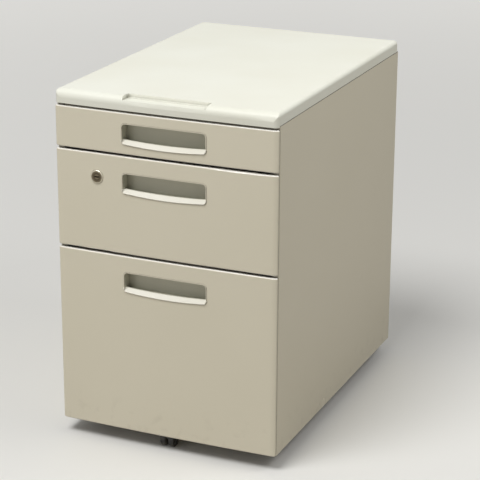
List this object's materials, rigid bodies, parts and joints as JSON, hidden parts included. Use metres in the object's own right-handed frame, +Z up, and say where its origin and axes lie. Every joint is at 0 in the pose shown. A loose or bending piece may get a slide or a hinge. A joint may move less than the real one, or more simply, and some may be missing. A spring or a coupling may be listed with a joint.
{
  "type": "mobile pedestal",
  "caption": "Steel under-desk pedestal on swivel casters with bowed drawer fronts, finger pulls, a moulded top with a pencil scoop, and a lock that bars every drawer.",
  "frame": {"origin": "floor, centre of the bounding box in plan", "axes": "+X to the right seen from the drawer fronts, +Y to the back, +Z up"},
  "size_m": [0.395, 0.58, 0.611],
  "materials": {
    "panel_paint": "warm putty-grey powder coat, fine texture, low sheen",
    "inner_paint": "same powder coat on the inner pans and boxes, smoother",
    "cap_plastic": "off-white moulded cover, fine grain",
    "pull_plastic": "moulded pull in the body colour",
    "tray_plastic": "black moulded tray, satin",
    "zinc_steel": "zinc-coated sheet steel",
    "slide_steel": "bright zinc roll-formed slide",
    "axle_steel": "bright drawn steel axles",
    "bumper_rubber": "small black stops",
    "lock_chrome": "bright lock ring",
    "lock_dark": "dark lock face",
    "caster_plastic": "black nylon hood",
    "wheel_plastic": "dark grey nylon wheel"
  },
  "bodies": {
    "cabinet": {"top_cap": "cap_plastic", "top_pan": "inner_paint", "side_panel_right": "panel_paint", "side_panel_left": "panel_paint", "back_panel": "panel_paint", "base_pan": "inner_paint", "slide_posts": "zinc_steel", "front_bumpers": "bumper_rubber", "caster_plates": "zinc_steel", "lock_bar_guides": "zinc_steel", "top_cabinet_rail_right": "slide_steel", "top_cabinet_rail_left": "slide_steel", "middle_cabinet_rail_right": "slide_steel", "middle_cabinet_rail_left": "slide_steel", "file_cabinet_rail_right": "slide_steel", "file_cabinet_rail_left": "slide_steel"},
    "drawer_top": {"top_front_skin": "panel_paint", "top_front_liner": "inner_paint", "top_pull": "pull_plastic", "top_box": "inner_paint", "top_drawer_rail_right": "slide_steel", "top_drawer_rail_left": "slide_steel", "pen_tray": "tray_plastic"},
    "drawer_middle": {"middle_front_skin": "panel_paint", "middle_front_liner": "inner_paint", "middle_pull": "pull_plastic", "middle_box": "inner_paint", "middle_drawer_rail_right": "slide_steel", "middle_drawer_rail_left": "slide_steel", "middle_divider": "inner_paint", "lock_housing": "lock_chrome"},
    "drawer_file": {"file_front_skin": "panel_paint", "file_front_liner": "inner_paint", "file_pull": "pull_plastic", "file_box": "inner_paint", "file_drawer_rail_right": "slide_steel", "file_drawer_rail_left": "slide_steel", "file_divider": "inner_paint", "roller_bracket": "zinc_steel", "roller_axle": "axle_steel"},
    "file_slides": {"file_middle_rail_right": "slide_steel", "file_middle_rail_left": "slide_steel"},
    "lock_key_cylinder": {"lock_cylinder": "lock_dark"},
    "lock_sliding_bolt": {"lock_bolt": "zinc_steel"},
    "lock_vertical_bar": {"lock_bar": "zinc_steel"},
    "roller": {"roller_wheels": "wheel_plastic"},
    "caster_front_left": {"caster_housing_front_left": "caster_plastic", "caster_axle_front_left": "axle_steel"},
    "wheels_front_left": {"caster_wheels_front_left": "wheel_plastic"},
    "caster_front_right": {"caster_housing_front_right": "caster_plastic", "caster_axle_front_right": "axle_steel"},
    "wheels_front_right": {"caster_wheels_front_right": "wheel_plastic"},
    "caster_rear_left": {"caster_housing_rear_left": "caster_plastic", "caster_axle_rear_left": "axle_steel"},
    "wheels_rear_left": {"caster_wheels_rear_left": "wheel_plastic"},
    "caster_rear_right": {"caster_housing_rear_right": "caster_plastic", "caster_axle_rear_right": "axle_steel"},
    "wheels_rear_right": {"caster_wheels_rear_right": "wheel_plastic"}
  },
  "joints": [
    {"name": "top_drawer_slide", "type": "slide", "parent": "cabinet", "child": "drawer_top", "axis": [0, -1, 0], "range_m": [0, 0.36]},
    {"name": "middle_drawer_slide", "type": "slide", "parent": "cabinet", "child": "drawer_middle", "axis": [0, -1, 0], "range_m": [0, 0.36]},
    {"name": "file_drawer_slide", "type": "slide", "parent": "cabinet", "child": "drawer_file", "axis": [0, -1, 0], "range_m": [0, 0.48]},
    {"name": "file_slides_slide", "type": "slide", "parent": "cabinet", "child": "file_slides", "axis": [0, -1, 0], "range_m": [0, 0.24]},
    {"name": "lock_turn", "type": "hinge", "parent": "drawer_middle", "child": "lock_key_cylinder", "pos_m": [-0.121, -0.28, 0.4715], "axis": [0, -1, 0], "range_deg": [0, 90]},
    {"name": "lock_bolt_slide", "type": "slide", "parent": "drawer_middle", "child": "lock_sliding_bolt", "axis": [-1, 0, 0], "range_m": [0, 0.0099]},
    {"name": "lock_bar_lift", "type": "slide", "parent": "cabinet", "child": "lock_vertical_bar", "axis": [0, 0, 1], "range_m": [0, 0.00989]},
    {"name": "roller_spin", "type": "hinge", "parent": "drawer_file", "child": "roller", "pos_m": [-0.006, -0.262, 0.013], "axis": [1, 0, 0], "continuous": true},
    {"name": "swivel_front_left", "type": "hinge", "parent": "cabinet", "child": "caster_front_left", "pos_m": [-0.1435, -0.218, 0.05], "axis": [0, 0, 1], "continuous": true},
    {"name": "wheel_spin_front_left", "type": "hinge", "parent": "caster_front_left", "child": "wheels_front_left", "pos_m": [-0.1435, -0.201, 0.02], "axis": [1, 0, 0], "continuous": true},
    {"name": "swivel_front_right", "type": "hinge", "parent": "cabinet", "child": "caster_front_right", "pos_m": [0.1435, -0.218, 0.05], "axis": [0, 0, 1], "continuous": true},
    {"name": "wheel_spin_front_right", "type": "hinge", "parent": "caster_front_right", "child": "wheels_front_right", "pos_m": [0.1435, -0.201, 0.02], "axis": [1, 0, 0], "continuous": true},
    {"name": "swivel_rear_left", "type": "hinge", "parent": "cabinet", "child": "caster_rear_left", "pos_m": [-0.1435, 0.232, 0.05], "axis": [0, 0, 1], "continuous": true},
    {"name": "wheel_spin_rear_left", "type": "hinge", "parent": "caster_rear_left", "child": "wheels_rear_left", "pos_m": [-0.1435, 0.249, 0.02], "axis": [1, 0, 0], "continuous": true},
    {"name": "swivel_rear_right", "type": "hinge", "parent": "cabinet", "child": "caster_rear_right", "pos_m": [0.1435, 0.232, 0.05], "axis": [0, 0, 1], "continuous": true},
    {"name": "wheel_spin_rear_right", "type": "hinge", "parent": "caster_rear_right", "child": "wheels_rear_right", "pos_m": [0.1435, 0.249, 0.02], "axis": [1, 0, 0], "continuous": true}
  ],
  "couplings": [
    {"joint": "file_slides_slide", "follows": "file_drawer_slide", "ratio": 0.5},
    {"joint": "lock_turn", "follows": "lock_bar_lift", "rad_per_m": 158.67},
    {"joint": "lock_bolt_slide", "follows": "lock_bar_lift", "ratio": 1}
  ]
}
